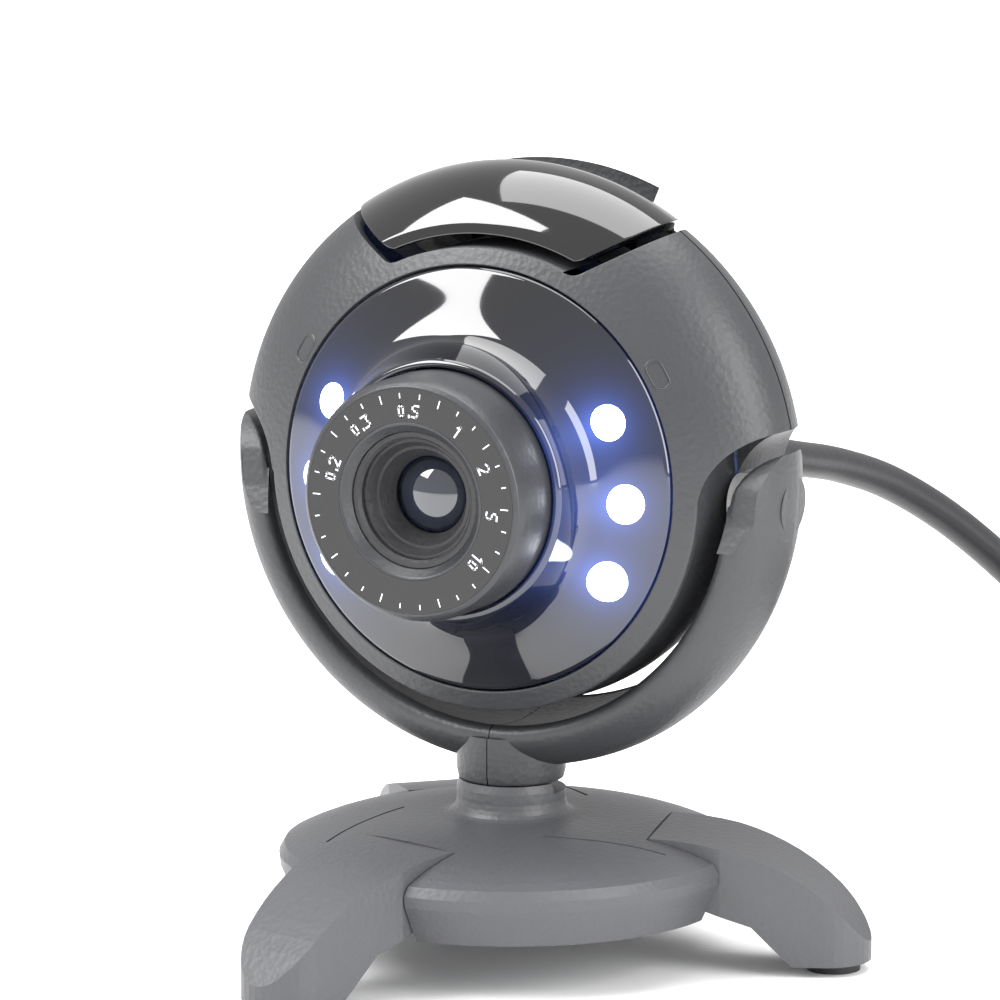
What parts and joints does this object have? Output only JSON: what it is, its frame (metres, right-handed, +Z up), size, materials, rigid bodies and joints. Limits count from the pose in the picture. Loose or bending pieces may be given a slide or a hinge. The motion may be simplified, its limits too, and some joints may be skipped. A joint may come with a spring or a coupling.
{
  "type": "webcam on tripod",
  "caption": "Round desk webcam with a focus ring, lamps round the lens and a snapshot button, tilting in a yoke on a swivel stem over a small folding tripod, with a USB cable.",
  "frame": {"origin": "on the surface the feet stand on, on the stem's swivel axis", "axes": "+Z up along the stem, -Y the way the lens looks, +X to the right as seen from the front"},
  "size_m": [0.1062, 0.1404, 0.072],
  "materials": {
    "body_plastic": "Charcoal matte plastic with a fine spark-eroded texture",
    "base_plastic": "Charcoal matte plastic, a little lighter than the head",
    "gloss_black": "Polished black plastic",
    "lens_plastic": "Black matte plastic of the lens parts",
    "scale_plastic": "Satin black disc with white numbers and ticks",
    "lamp_resin": "Clear resin lamps, lit blue-white",
    "coated_glass": "Coated optical glass",
    "filter_glass": "Thin blue-green filter glass",
    "board_green": "Green circuit board with solder mask",
    "chip_black": "Moulded black chip package",
    "steel": "Plain steel of screws, pins and washers",
    "washer_nylon": "Black nylon friction washers and plunger",
    "rubber_black": "Soft black rubber of feet and sleeve",
    "cable_jacket": "Black flexible cable jacket and its moulded ends",
    "plug_metal": "Nickel-plated plug shell",
    "plug_insert": "White plug insert"
  },
  "bodies": {
    "base": {"hub_shell": "base_plastic", "hub_floor": "base_plastic", "hub_screws": "steel", "leg_pins": "steel", "usb_cable": "cable_jacket", "usb_cable_coil": "cable_jacket", "usb_cable_tail": "cable_jacket", "plug_grip": "cable_jacket", "plug_shell": "plug_metal", "plug_tongue": "plug_insert"},
    "leg_a": {"leg_1": "base_plastic", "foot_1": "rubber_black"},
    "leg_b": {"leg_2": "base_plastic", "foot_2": "rubber_black"},
    "leg_c": {"leg_3": "base_plastic", "foot_3": "rubber_black"},
    "yoke": {"yoke_left": "body_plastic", "yoke_right": "body_plastic", "yoke_dowel": "steel", "tilt_pin_left": "body_plastic", "tilt_pin_right": "body_plastic", "tilt_washer_left": "washer_nylon", "tilt_washer_right": "washer_nylon", "swivel_post": "body_plastic", "swivel_washer": "steel", "swivel_screw": "steel"},
    "head": {"front_shell": "body_plastic", "rear_shell": "body_plastic", "face_plate": "gloss_black", "lamp_1": "lamp_resin", "lamp_2": "lamp_resin", "lamp_3": "lamp_resin", "lamp_4": "lamp_resin", "lamp_5": "lamp_resin", "lamp_6": "lamp_resin", "lamp_board": "board_green", "main_board": "board_green", "control_chip": "chip_black", "image_sensor": "chip_black", "lens_holder": "lens_plastic", "infrared_filter": "filter_glass", "microphone": "steel", "microphone_sleeve": "rubber_black", "button_board": "board_green", "switch_body": "chip_black", "shell_screws": "steel", "strain_relief": "cable_jacket", "wave_washer": "steel"},
    "focus": {"focus_ring": "body_plastic", "scale_ring": "scale_plastic"},
    "lens": {"lens_barrel": "lens_plastic", "front_lens": "coated_glass", "rear_lens": "coated_glass", "lens_retainer": "lens_plastic"},
    "button": {"snapshot_button": "gloss_black", "switch_plunger": "washer_nylon"}
  },
  "joints": [
    {"name": "yoke_swivel", "type": "hinge", "parent": "base", "child": "yoke", "pos_m": [0, 0, 0.0162], "axis": [0, 0, 1], "range_deg": [-90, 90]},
    {"name": "head_tilt", "type": "hinge", "parent": "yoke", "child": "head", "pos_m": [0, 0.0015, 0.0429], "axis": [1, 0, 0], "range_deg": [-25, 25]},
    {"name": "focus_turn", "type": "hinge", "parent": "head", "child": "focus", "pos_m": [0, 0, 0.0445], "axis": [0, -1, 0], "range_deg": [-150, 150]},
    {"name": "lens_travel", "type": "slide", "parent": "focus", "child": "lens", "axis": [0, -1, 0], "range_m": [-0.00021, 0.00021]},
    {"name": "button_press", "type": "slide", "parent": "head", "child": "button", "axis": [0, 0, -1], "range_m": [0, 0.0008], "stiffness_N_per_m": 2000},
    {"name": "leg_fold_1", "type": "hinge", "parent": "base", "child": "leg_a", "pos_m": [0.01572, 0.00392, 0.0084], "axis": [-0.2419, 0.9703, 0], "range_deg": [0, 65]},
    {"name": "leg_fold_2", "type": "hinge", "parent": "base", "child": "leg_b", "pos_m": [-0.01125, 0.01165, 0.0084], "axis": [-0.7193, -0.6947, 0], "range_deg": [0, 65]},
    {"name": "leg_fold_3", "type": "hinge", "parent": "base", "child": "leg_c", "pos_m": [-0.00447, -0.01557, 0.0084], "axis": [0.9613, -0.2756, 0], "range_deg": [0, 65]}
  ],
  "couplings": [
    {"joint": "lens_travel", "follows": "focus_turn", "m_per_rad": 0.000079577}
  ]
}
